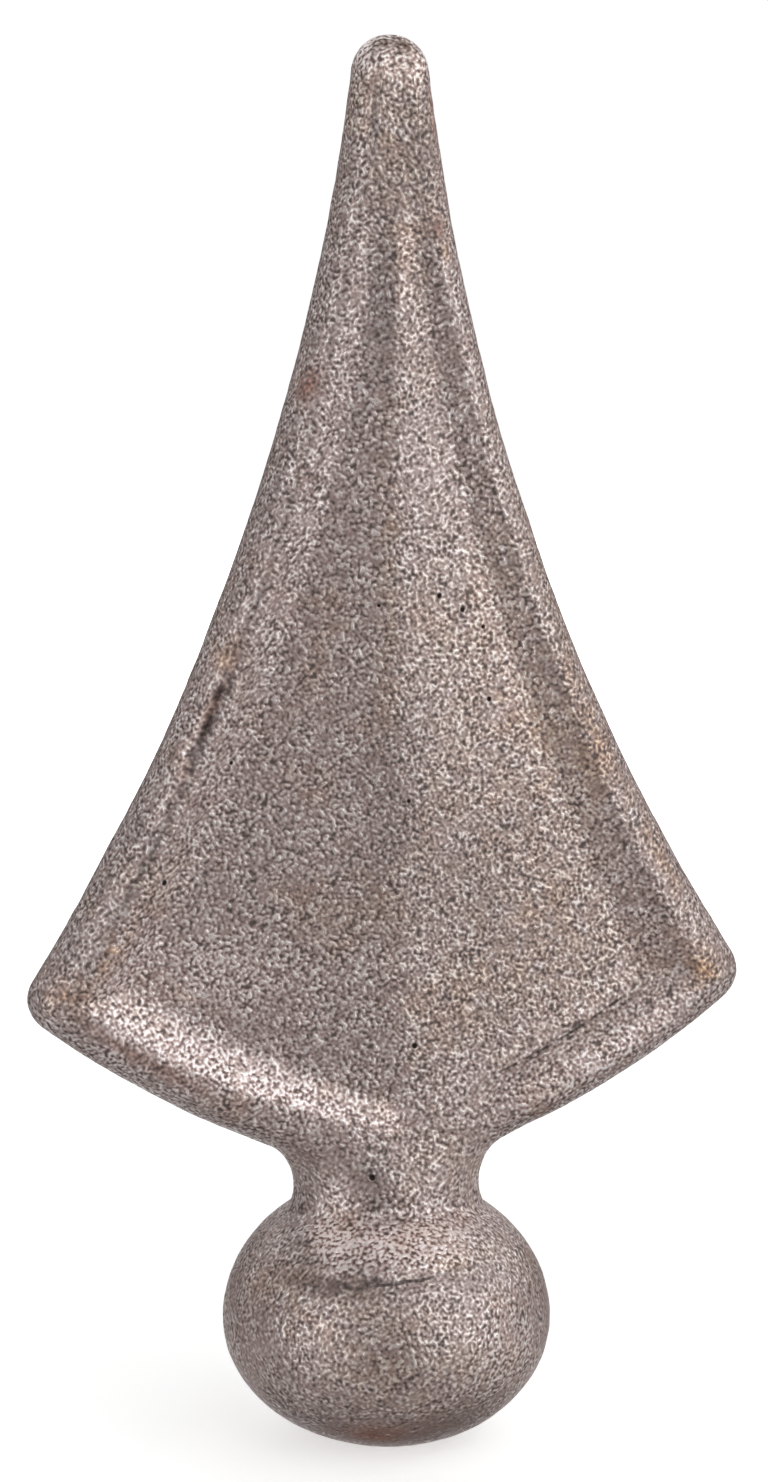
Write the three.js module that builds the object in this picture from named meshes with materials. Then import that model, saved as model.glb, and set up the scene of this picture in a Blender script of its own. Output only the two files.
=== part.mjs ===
// A cast-iron fence finial: a spear-point blade with a raised rim round a sunk, ridged panel
// on each face, above a short neck and a ball with a small flat underneath. It is one casting.
// Millimetres, +Z up. The blade spans X, its two faces look along -Y and +Y, and the origin is
// the middle of the flat under the ball.

import * as THREE from 'three';

const DEGREE = Math.PI / 180;
const QUARTER_TURN = Math.PI / 2;

// Ball: a round body, a little fuller above its widest level than below it
const BALL_RADIUS = 17.4;
const BALL_CENTRE_Z = 12.5;
const BALL_RISE = 15.0;
const FLAT_RADIUS = 6.5;
const BALL_DROP = BALL_CENTRE_Z / Math.sqrt(1 - (FLAT_RADIUS / BALL_RADIUS) ** 2);
const BALL_BLEND = 1.5;

// Neck: an oval, less deep than wide. A hollow curve, the cove, runs from the ball past the waist and
// out under the wings, and the front leans back above it, by the square of the height and then less
const WAIST_RADIUS = 9.86;
const NECK_DEPTH = 8.1;
const WAIST_Z = 27.15;
const COVE_RADIUS = 5.6;
const NECK_LEAN = 2.4;

// Blade outline, all in arcs: round tip, hollow long edges, round wing corners, full lower edges
const HEIGHT = 147.3;
const TIP_RADIUS = 3.9;
const TIP_EDGE_ANGLE = 7.1 * DEGREE;
const LONG_EDGE_RADIUS = 224.4;
const WING_RADIUS = 3.6;
const LOWER_EDGE_ANGLE = 22.1 * DEGREE;
const LOWER_EDGE_RADIUS = 99.1;

// Blade section: half depths from the middle plane, and insets, which are distances in from
// the outline to the crest of the rim and to the valley at the foot of its inner slope
const RIM_DEPTH = 4.7;
const RIDGE_DEPTH = 5.2;
const RIM_SLOPE = 0.64;
const CREST_INSET = { narrow: 2.1, growth: 0.06 };
const VALLEY_INSET = { narrow: 3.9, growth: 0.115 };
const WIDEST_FOR_INSETS = 36;
const CREST_ROUNDING = 1.0;
const RIDGE_ROUNDING = 1.2;
const VALLEY_ROUNDING = 1.0;

// Half widths between which the panel deepens and the ridge and rim rise, going down from the tip
const PANEL_START = [4.8, 8.5];
const RISE_START = [4, 16];

// Root: towards the neck the lower rims grow deeper and steeper, and their crests lie further in.
// Where they run into the neck its flanks are fuller than an ellipse
const ROOT_DEPTH = { most: 1.9, reach: 28, power: 6 };
const ROOT_SLOPE = { most: 0.3, reach: 30, power: 6 };
const ROOT_INSET = { most: 1.2, reach: 20, power: 4 };
const ROOT_FADE = [42, 60];
const FLANK_FULLNESS = 0.65;
const FLANK_FADE = [34, 42];

// Facets of the surface: rows up each arc of the outline, and stations across half a face, with the
// least and most of the half width at which the valley lies, and of the rest, where the crest lies
const ROWS = { ballLower: 7, ballUpper: 6, cove: 6, lowerEdge: 13, wing: 5, longEdge: 34, tip: 6 };
const STATIONS = { facet: 4, slope: 3, edge: 5 };
const VALLEY_SHARES = [0.25, 0.86];
const CREST_SHARES = [0.25, 0.75];
const HALF_STATIONS = STATIONS.facet + STATIONS.slope + STATIONS.edge;

const mix = (a, b, t) => a + (b - a) * t;
const clamp = (x, low, high) => Math.min(Math.max(x, low), high);
const root = (x) => Math.sqrt(Math.max(x, 0));
const HALVINGS = 50;

function smoothStep(low, high, x) {
  const t = clamp((x - low) / (high - low), 0, 1);
  return t * t * (3 - 2 * t);
}

// Larger of two depths, with the hollow corner between them filled by a rounding
function blendMax(a, b, rounding) {
  const reach = Math.min(rounding, Math.max(a, b) / 2);
  const overlap = Math.max(reach - Math.abs(a - b), 0);
  return Math.max(a, b) + (reach > 0 ? (overlap * overlap) / (4 * reach) : 0);
}

// Centres of the outline's arcs, as (distance from the axis, height)
const tipCentre = { x: 0, z: HEIGHT - TIP_RADIUS };
const longCentre = {
  x: (TIP_RADIUS + LONG_EDGE_RADIUS) * Math.cos(TIP_EDGE_ANGLE),
  z: tipCentre.z + (TIP_RADIUS + LONG_EDGE_RADIUS) * Math.sin(TIP_EDGE_ANGLE),
};
const coveCentre = { x: WAIST_RADIUS + COVE_RADIUS, z: WAIST_Z };
const lowerCentre = {
  x: coveCentre.x - (COVE_RADIUS + LOWER_EDGE_RADIUS) * Math.sin(LOWER_EDGE_ANGLE),
  z: coveCentre.z + (COVE_RADIUS + LOWER_EDGE_RADIUS) * Math.cos(LOWER_EDGE_ANGLE),
};
const wingCentre = circleMeeting(
  longCentre, LONG_EDGE_RADIUS + WING_RADIUS, lowerCentre, LOWER_EDGE_RADIUS - WING_RADIUS,
);

// Lower right of the two points where a circle about p meets a circle about q
function circleMeeting(p, pRadius, q, qRadius) {
  const gap = Math.hypot(q.x - p.x, q.z - p.z);
  const along = (pRadius ** 2 - qRadius ** 2 + gap ** 2) / (2 * gap);
  const aside = Math.sqrt(pRadius ** 2 - along ** 2);
  const unit = { x: (q.x - p.x) / gap, z: (q.z - p.z) / gap };
  return { x: p.x + along * unit.x - aside * unit.z, z: p.z + along * unit.z + aside * unit.x };
}

// Heights where one arc of the outline hands over to the next
const towards = (from, to, distance) =>
  from.z + (distance * (to.z - from.z)) / Math.hypot(to.x - from.x, to.z - from.z);
const lowerStartZ = towards(coveCentre, lowerCentre, COVE_RADIUS);
const wingStartZ = towards(wingCentre, lowerCentre, -WING_RADIUS);
const wingEndZ = towards(wingCentre, longCentre, WING_RADIUS);
const tipStartZ = towards(tipCentre, longCentre, TIP_RADIUS);

const coveWidth = (z) => coveCentre.x - root(COVE_RADIUS ** 2 - (z - coveCentre.z) ** 2);
const lowerWidth = (z) => lowerCentre.x + root(LOWER_EDGE_RADIUS ** 2 - (z - lowerCentre.z) ** 2);
const wingWidth = (z) => wingCentre.x + root(WING_RADIUS ** 2 - (z - wingCentre.z) ** 2);
const longWidth = (z) => longCentre.x - root(LONG_EDGE_RADIUS ** 2 - (z - longCentre.z) ** 2);
const tipWidth = (z) => root(TIP_RADIUS ** 2 - (z - tipCentre.z) ** 2);

function ballWidth(z) {
  const span = z < BALL_CENTRE_Z ? BALL_DROP : BALL_RISE;
  return BALL_RADIUS * root(1 - ((z - BALL_CENTRE_Z) / span) ** 2);
}

// Height at which the narrowing ball meets the cove
const ballEndZ = meeting((z) => ballWidth(z) - coveWidth(z), WAIST_Z - COVE_RADIUS / 2, WAIST_Z);

// Place between low and high where a function that falls through zero does so
function meeting(fall, low, high) {
  for (let i = 0; i < HALVINGS; i++) {
    const middle = (low + high) / 2;
    if (fall(middle) > 0) low = middle;
    else high = middle;
  }
  return (low + high) / 2;
}

// Half width of the whole outline at a height
function halfWidth(z) {
  if (z < ballEndZ) return ballWidth(z);
  if (z < lowerStartZ) return coveWidth(z);
  if (z < wingStartZ) return lowerWidth(z);
  if (z < wingEndZ) return wingWidth(z);
  return z < tipStartZ ? longWidth(z) : tipWidth(z);
}

// Distance in from the blade's long and lower edges, with the wing corner rounded
function edgeInset(x, z) {
  const fromLong = Math.hypot(x - longCentre.x, z - longCentre.z) - LONG_EDGE_RADIUS;
  const fromLower = LOWER_EDGE_RADIUS - Math.hypot(x - lowerCentre.x, z - lowerCentre.z);
  const shortLong = Math.max(WING_RADIUS - fromLong, 0);
  const shortLower = Math.max(WING_RADIUS - fromLower, 0);
  if (shortLong > 0 && shortLower > 0) return WING_RADIUS - Math.hypot(shortLong, shortLower);
  return Math.min(fromLong, fromLower);
}

// How far the panel has deepened, and the ridge and rim have risen, at a height, from 0 to 1
const panelShare = (z) => smoothStep(...PANEL_START, longWidth(z));
const riseShare = (z) => smoothStep(...RISE_START, longWidth(z));

// Growth of the lower rims towards the axis, just above the neck
function rootGrowth(rule, x, z) {
  return rule.most * Math.exp(-((x / rule.reach) ** rule.power)) * (1 - smoothStep(...ROOT_FADE, z));
}

const insetBy = (rule, z) => rule.narrow + rule.growth * Math.min(longWidth(z), WIDEST_FOR_INSETS);
const crestInset = (x, z) => insetBy(CREST_INSET, z) + rootGrowth(ROOT_INSET, x, z);
const rimDepth = (x, z) => mix(TIP_RADIUS, RIM_DEPTH, riseShare(z)) + rootGrowth(ROOT_DEPTH, x, z);

// Height at which the crests of the lower rims meet on the axis
const rootZ = meeting((z) => crestInset(0, z) - edgeInset(0, z), lowerStartZ - COVE_RADIUS, wingStartZ);

// Half depth of the neck's front on the axis, from the ball up to where the rims meet above it
function neckFront(z) {
  if (z < WAIST_Z) return (coveWidth(Math.max(z, ballEndZ)) * NECK_DEPTH) / WAIST_RADIUS;
  const up = (z - WAIST_Z) / (rootZ - WAIST_Z);
  return mix(NECK_DEPTH, rimDepth(0, z), up ** 2 * mix(NECK_LEAN, 1, up));
}

// Distance from the axis to the rim's crest at a height, and 0 on the neck and the ball
function crestX(z) {
  if (z <= rootZ) return 0;
  if (z > tipStartZ) return tipWidth(z) * (crestX(tipStartZ) / tipWidth(tipStartZ));
  return meeting((x) => edgeInset(x, z) - crestInset(x, z), 0, halfWidth(z));
}

// Half depth at the crest of a row, which the round outer edge falls away from
function crestDepth(z) {
  if (z < BALL_CENTRE_Z) return 0;
  if (z <= rootZ) return neckFront(z);
  return z > tipStartZ ? tipWidth(z) : rimDepth(crestX(z), z);
}

// Half depth of the panel's facet, falling from the ridge on the axis to the valley by the rim
function facetDepth(x, z) {
  const ridge = mix(TIP_RADIUS, RIDGE_DEPTH, riseShare(z));
  const sunk = RIM_SLOPE * panelShare(z) * (insetBy(VALLEY_INSET, z) - insetBy(CREST_INSET, z));
  const valleyX = Math.max(longWidth(z) - insetBy(VALLEY_INSET, z), RIDGE_ROUNDING);
  const fall = ridge - mix(TIP_RADIUS, RIM_DEPTH, riseShare(z)) + sunk;
  return ridge - (fall * (Math.hypot(x, RIDGE_ROUNDING) - RIDGE_ROUNDING)) / valleyX;
}

// Half depth inside the crest: the rim's inner slope, then the facet
function panelDepth(x, z) {
  const past = Math.max(edgeInset(x, z) - crestInset(x, z), 0);
  const run = Math.hypot(past, CREST_ROUNDING) - CREST_ROUNDING;
  const slope = panelShare(z) * (RIM_SLOPE + rootGrowth(ROOT_SLOPE, x, z));
  return blendMax(rimDepth(x, z) - slope * run, facetDepth(x, z), VALLEY_ROUNDING);
}

// How much fuller than an ellipse the flanks are at a height
function flankFullness(z) {
  return FLANK_FULLNESS * smoothStep(WAIST_Z, rootZ, z) * (1 - smoothStep(...FLANK_FADE, z));
}

// Half depth of the casting at a place on its middle plane
function halfDepth(x, z) {
  const crest = crestX(z);
  const outer = (x - crest) / (halfWidth(z) - crest);
  const inside = z > tipStartZ ? crestDepth(z) : panelDepth(x, z);
  const flank = root(1 - outer ** 2) * (1 + flankFullness(z) * outer ** 2 * (1 - outer ** 2));
  const body = outer >= 0 ? crestDepth(z) * flank : inside;
  return blendMax(body, root(ballWidth(z) ** 2 - x ** 2), BALL_BLEND);
}

// Heights of the rows, spaced evenly round each arc of the outline, without the tip's pole
function rowHeights() {
  const heights = [];
  const sweep = (centreZ, radius, startZ, endZ, steps) => {
    const start = Math.asin((startZ - centreZ) / radius);
    const end = Math.asin(Math.min((endZ - centreZ) / radius, 1));
    for (let i = 0; i < steps; i++) {
      heights.push(centreZ + radius * Math.sin(mix(start, end, i / steps)));
    }
  };
  sweep(BALL_CENTRE_Z, BALL_DROP, 0, BALL_CENTRE_Z, ROWS.ballLower);
  sweep(BALL_CENTRE_Z, BALL_RISE, BALL_CENTRE_Z, ballEndZ, ROWS.ballUpper);
  sweep(coveCentre.z, COVE_RADIUS, ballEndZ, lowerStartZ, ROWS.cove);
  sweep(lowerCentre.z, LOWER_EDGE_RADIUS, lowerStartZ, wingStartZ, ROWS.lowerEdge);
  sweep(wingCentre.z, WING_RADIUS, wingStartZ, wingEndZ, ROWS.wing);
  sweep(longCentre.z, LONG_EDGE_RADIUS, wingEndZ, tipStartZ, ROWS.longEdge);
  sweep(tipCentre.z, TIP_RADIUS, tipStartZ, HEIGHT, ROWS.tip);
  return heights;
}

// Places across half a row, as shares of its half width: even angles on the round ball and neck,
// and lines that follow the valley and the crest of the rim on the blade
function rowStations(z) {
  const width = halfWidth(z);
  const valleyX = meeting((x) => edgeInset(x, z) - insetBy(VALLEY_INSET, z), 0, width);
  const valley = clamp(valleyX / width, ...VALLEY_SHARES);
  const crest = clamp(crestX(z) / width, ...CREST_SHARES.map((share) => mix(valley, 1, share)));
  const bladeShare = smoothStep(WAIST_Z, rootZ, z);
  const shares = [];
  for (let i = 0; i <= HALF_STATIONS; i++) {
    const round = Math.sin((QUARTER_TURN * i) / HALF_STATIONS);
    shares.push(mix(round, bladeStation(i, valley, crest), bladeShare));
  }
  return shares;
}

function bladeStation(i, valley, crest) {
  const { facet, slope, edge } = STATIONS;
  if (i <= facet) return (valley * i) / facet;
  if (i <= facet + slope) return mix(valley, crest, (i - facet) / slope);
  return mix(crest, 1, Math.sin((QUARTER_TURN * (i - facet - slope)) / edge));
}

// One ring of points round the casting at a height: front face from left to right, then the back
function rowPoints(z) {
  const width = halfWidth(z);
  const shares = rowStations(z);
  const points = [];
  const push = (side, i) => {
    const x = width * Math.sign(i) * shares[Math.abs(i)];
    const depth = Math.abs(i) === HALF_STATIONS ? 0 : halfDepth(Math.abs(x), z);
    points.push(new THREE.Vector3(x, side * depth, z));
  };
  for (let i = -HALF_STATIONS; i <= HALF_STATIONS; i++) push(-1, i);
  for (let i = HALF_STATIONS - 1; i > -HALF_STATIONS; i--) push(1, i);
  return points;
}

// Closed surface through all rows, with the flat underneath and the tip's pole on top
function castingGeometry() {
  const rows = rowHeights().map(rowPoints);
  const ring = rows[0].length;
  const points = rows.flat();
  const bottom = points.push(new THREE.Vector3(0, 0, 0)) - 1;
  const top = points.push(new THREE.Vector3(0, 0, HEIGHT)) - 1;
  const index = [];
  for (let i = 0; i < ring; i++) {
    const next = (i + 1) % ring;
    const last = (rows.length - 1) * ring;
    index.push(bottom, next, i, top, last + i, last + next);
    for (let row = 0; row + 1 < rows.length; row++) {
      const low = row * ring;
      const high = low + ring;
      index.push(low + i, low + next, high + i, low + next, high + next, high + i);
    }
  }
  const geometry = new THREE.BufferGeometry().setFromPoints(points);
  geometry.setIndex(index);
  geometry.computeVertexNormals();
  return geometry;
}

const castIron = new THREE.MeshStandardMaterial({ color: 0x83766d, roughness: 0.55, metalness: 0.8 });
const finial = new THREE.Group();
const casting = new THREE.Mesh(castingGeometry(), castIron);
casting.name = 'spear_finial';
finial.add(casting);

export default finial;
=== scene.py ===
"""A cast-iron spear-point fence finial, dressed as an old sand casting.

The casting is one surface worked out with numpy, on a grid of rows up its outline and stations
round each row. It has the form of the frame's solid and stands for it, and adds the casting's
unevenness, its coarse grain and the fold across the front of the ball. The iron is a node material
on object coordinates, with the fine grain, pits and thin lines, some of them painted shade in the fold
and the crease, and on attributes of the mesh that say where it is pale, dark or dull and where brown
bloom, ochre, rust and grime lie. Much of the pale and dark is painted highlights and shade, the bloom
carries a painted warm cast, and the rust and grime carry painted shade under the lip.
"""

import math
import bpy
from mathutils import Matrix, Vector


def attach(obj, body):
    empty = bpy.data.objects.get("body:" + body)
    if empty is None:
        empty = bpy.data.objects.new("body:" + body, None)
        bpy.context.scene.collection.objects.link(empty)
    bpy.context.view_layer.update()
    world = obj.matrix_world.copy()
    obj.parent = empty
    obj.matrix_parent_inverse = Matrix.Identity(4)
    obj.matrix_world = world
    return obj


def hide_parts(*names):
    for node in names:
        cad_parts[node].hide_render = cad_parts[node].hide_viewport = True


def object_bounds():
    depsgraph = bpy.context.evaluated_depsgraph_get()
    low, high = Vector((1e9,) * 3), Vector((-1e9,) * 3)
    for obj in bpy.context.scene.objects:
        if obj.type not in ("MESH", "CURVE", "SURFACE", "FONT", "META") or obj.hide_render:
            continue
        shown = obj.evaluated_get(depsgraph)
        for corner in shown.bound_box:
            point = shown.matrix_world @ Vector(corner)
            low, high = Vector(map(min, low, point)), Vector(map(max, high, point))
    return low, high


bl_info = {
    "name": "Spear Finial",
    "version": (1, 0, 0),
    "blender": (4, 5, 0),
    "location": "View3D > Sidebar > Finial",
    "description": "Builds a cast-iron spear-point fence finial on its frame, and a studio round it",
    "category": "Add Mesh",
}

import bpy
import numpy as np
from bpy.props import FloatProperty, FloatVectorProperty, IntProperty, PointerProperty
from mathutils import Matrix, Vector

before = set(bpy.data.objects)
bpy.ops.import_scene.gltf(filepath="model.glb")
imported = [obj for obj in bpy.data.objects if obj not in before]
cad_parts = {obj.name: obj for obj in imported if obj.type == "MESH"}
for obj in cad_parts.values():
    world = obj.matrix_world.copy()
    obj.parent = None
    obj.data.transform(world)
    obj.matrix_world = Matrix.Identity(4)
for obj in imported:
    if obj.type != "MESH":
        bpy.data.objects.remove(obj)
CAD_LOW, CAD_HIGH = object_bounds()

MM = 0.001
NODE = "spear_finial"
HALVINGS = 50
TINY = 1e-9


def length(name, description, default):
    """A size property in metres."""
    settings = {"unit": "LENGTH", "precision": 5}
    return FloatProperty(name=name, description=description, default=default, **settings)


def angle(name, description, degrees):
    """An angle property."""
    default = math.radians(degrees)
    return FloatProperty(name=name, description=description, default=default, unit="ROTATION")


def share(name, description, default):
    """A property from 0 to 1."""
    settings = {"min": 0, "max": 1, "subtype": "FACTOR"}
    return FloatProperty(name=name, description=description, default=default, **settings)


def colour(name, description, default):
    """A linear colour property."""
    settings = {"size": 3, "min": 0, "subtype": "COLOR"}
    return FloatVectorProperty(name=name, description=description, default=default, **settings)


def amount(name, description, default):
    """A plain number above 0."""
    return FloatProperty(name=name, description=description, default=default, min=0)


def count(name, description, default):
    """A property that counts things."""
    return IntProperty(name=name, description=description, default=default, min=1)


class FinialForm(bpy.types.PropertyGroup):
    """Sizes of the casting's outline and section."""

    height: length("Height", "From the foot's flat to the tip", CAD_HIGH.z)
    ball_radius: length("Ball radius", "At the ball's widest level", CAD_HIGH.y)
    ball_centre: length("Ball centre", "Height of the ball's widest level", 12.5 * MM)
    ball_rise: length("Ball rise", "Upper half height of the ball", 15.0 * MM)
    foot_radius: length("Foot radius", "Of the flat under the ball", 6.5 * MM)
    ball_blend: length("Ball blend", "Rounding between ball and neck", 1.5 * MM)
    waist_radius: length("Waist radius", "At the neck's narrowest level", 9.86 * MM)
    neck_depth: length("Neck depth", "Half depth of the oval neck at its narrowest level", 8.1 * MM)
    waist_height: length("Waist height", "Height of the neck's narrowest level", 27.15 * MM)
    cove_radius: length("Cove radius", "Of the hollow curve from ball to lower edge", 5.6 * MM)
    tip_radius: length("Tip radius", "Of the round point", 3.9 * MM)
    tip_edge_angle: angle("Tip edge angle", "Lean of the long edge where it leaves the tip", 7.1)
    long_edge_radius: length("Long edge radius", "Of the hollow edge from tip to wing", 224.4 * MM)
    wing_radius: length("Wing radius", "Of the wing's round corner", 3.6 * MM)
    lower_edge_angle: angle("Lower edge angle", "Lean of the lower edge where it leaves the cove", 22.1)
    lower_edge_radius: length("Lower edge radius", "Of the full edge from cove to wing", 99.1 * MM)
    rim_depth: length("Rim depth", "Half depth of the blade at the crest of its rim", 4.7 * MM)
    ridge_depth: length("Ridge depth", "Half depth of the blade at its middle ridge", 5.2 * MM)


class CastingRelief(bpy.types.PropertyGroup):
    """Sizes of the sand mould's marks."""

    half_stations: count("Stations", "Grid steps across half a face", 60)
    wave_size: length("Wave size", "Spacing of the casting's slow unevenness", 9 * MM)
    wave_depth: length("Wave depth", "Height of the slow unevenness", 0.12 * MM)
    grain_size: length("Grain size", "Spacing of the sand's coarse grain", 1.3 * MM)
    grain_depth: length("Grain depth", "Height of the coarse grain", 0.035 * MM)
    lip_rise: length("Lip rise", "How far the neck's foot stands out over the fold", 0.25 * MM)
    fold_height: length("Fold height", "Of the fold under the neck's foot, on the axis", 20.6 * MM)
    fold_rise: share("Fold rise", "How steeply the fold rises to the right", 0.08)
    fold_waver: length("Fold waver", "How far the fold wavers", 0.35 * MM)
    fold_depth: length("Fold depth", "Of the fold at its sharpest", 0.25 * MM)
    fold_width: length("Fold width", "Half width of the fold's hollow", 0.5 * MM)
    fold_line: length("Fold line", "Half width of the fold's dark line", 0.22 * MM)
    crease_inset: length("Crease inset", "From the lower edge to the crease by the right rim", 7.8 * MM)
    crease_line: length("Crease line", "Half width of the crease's dark line", 0.16 * MM)
    speck_inset: length("Speck inset", "From the long edge to the specks by the left rim", 3.1 * MM)
    speck_line: length("Speck line", "Half width of the line of specks", 0.34 * MM)


class IronFinish(bpy.types.PropertyGroup):
    """Colours and fine grain of the iron."""

    iron: colour("Iron", "Bare iron", (0.425, 0.302, 0.280))
    bright: colour("Bright iron", "Grain tops rubbed bright", (1.0, 0.905, 0.88))
    dark: colour("Dark iron", "Hollows of the grain", (0.090, 0.061, 0.053))
    # Brown bloom, and a painted warm cast that stands in for warmer light on the right facet, the
    # ridge, the tip and the ball
    bloom_and_warm_light: colour("Brown bloom", "Tint of thin brown oxide", (1.0, 0.91, 0.75))
    ochre: colour("Ochre", "Tint of the yellow rust along the rims", (1.0, 0.68, 0.36))
    # Red rust, which also paints brown shade under the lip and in the left rim's crevices
    rust: colour("Rust", "Tint of red rust", (0.66, 0.32, 0.20))
    # Dirt in the pits, and painted shade in the fold under the lip, in the crease and in the left rim's
    # crevice
    grime_and_shade: colour("Grime", "Dirt in pits and folds", (0.040, 0.028, 0.027))
    fine_grain: length("Fine grain", "Spacing of the finest grain", 0.39 * MM)
    fine_depth: length("Fine grain depth", "Height of the finest grain", 0.15 * MM)
    # How far the painted highlights and shade, with the tone that varies, make the iron paler or darker
    tone_and_light_share: share("Tone share", "How far rubbed places are paler and dirty ones darker", 0.7)
    metallic: share("Metallic", "How metallic the iron is", 0.3)
    skin_ior: amount("Oxide skin", "Refractive index of the dark oxide skin", 2.4)
    roughness: share("Roughness", "Of the iron between its grain tops", 0.44)


class StudioSet(bpy.types.PropertyGroup):
    """Camera and light."""

    azimuth: angle("Camera azimuth", "Turn of the camera from the front", -12.54)
    elevation: angle("Camera elevation", "Height of the camera above the horizon", 10.0)
    roll: angle("Camera roll", "Lean of the picture", 0.14)
    distance: length("Camera distance", "From the aim point", 453 * MM)
    aim_height: length("Aim height", "Height of the aim point on the axis", 74.6 * MM)
    aim_aside: length("Aim aside", "How far the aim point lies left of the axis", 0.4 * MM)
    field_height: length("Field height", "Height of the picture at the aim point", 154.4 * MM)
    paper: colour("Paper", "The pale sweep under and behind the finial", (0.86, 0.86, 0.86))
    light_size: length("Light size", "Across each soft light", 600 * MM)
    light_distance: length("Light distance", "From the aim point to each soft light", 700 * MM)
    room: colour("Room", "Light of the dim room", (0.01, 0.01, 0.01))


def smooth_step(low, high, x):
    """0 below low, 1 above high and an even S between them."""
    t = np.clip((x - low) / (high - low), 0, 1)
    return t * t * (3 - 2 * t)


def mix(a, b, t):
    """From a to b as t goes from 0 to 1."""
    return a + (b - a) * t


def positive_root(x):
    """Square root, with 0 for what lies below 0."""
    return np.sqrt(np.maximum(x, 0))


def blend_max(a, b, rounding):
    """Larger of two depths, with the hollow corner between them filled by a parabola."""
    larger = np.maximum(a, b)
    reach = np.minimum(rounding, larger / 2)
    overlap = np.maximum(reach - np.abs(a - b), 0)
    return larger + overlap**2 / (4 * np.maximum(reach, TINY))


def meeting(fall, low, high):
    """Places between low and high where a function that falls through zero does so, by halving."""
    for _ in range(HALVINGS):
        middle = (low + high) / 2
        above = fall(middle) > 0
        low = np.where(above, middle, low)
        high = np.where(above, high, middle)
    return (low + high) / 2


def circle_meeting(p, p_radius, q, q_radius):
    """Lower right of the two points where a circle about p meets a circle about q."""
    gap = math.dist(p, q)
    along = (p_radius**2 - q_radius**2 + gap**2) / (2 * gap)
    aside = math.sqrt(p_radius**2 - along**2)
    unit_x = (q[0] - p[0]) / gap
    unit_z = (q[1] - p[1]) / gap
    return p[0] + along * unit_x - aside * unit_z, p[1] + along * unit_z + aside * unit_x


def towards(start, end, distance):
    """Height of the point that lies a distance from start on the way to end."""
    return start[1] + distance * (end[1] - start[1]) / math.dist(start, end)


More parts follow.
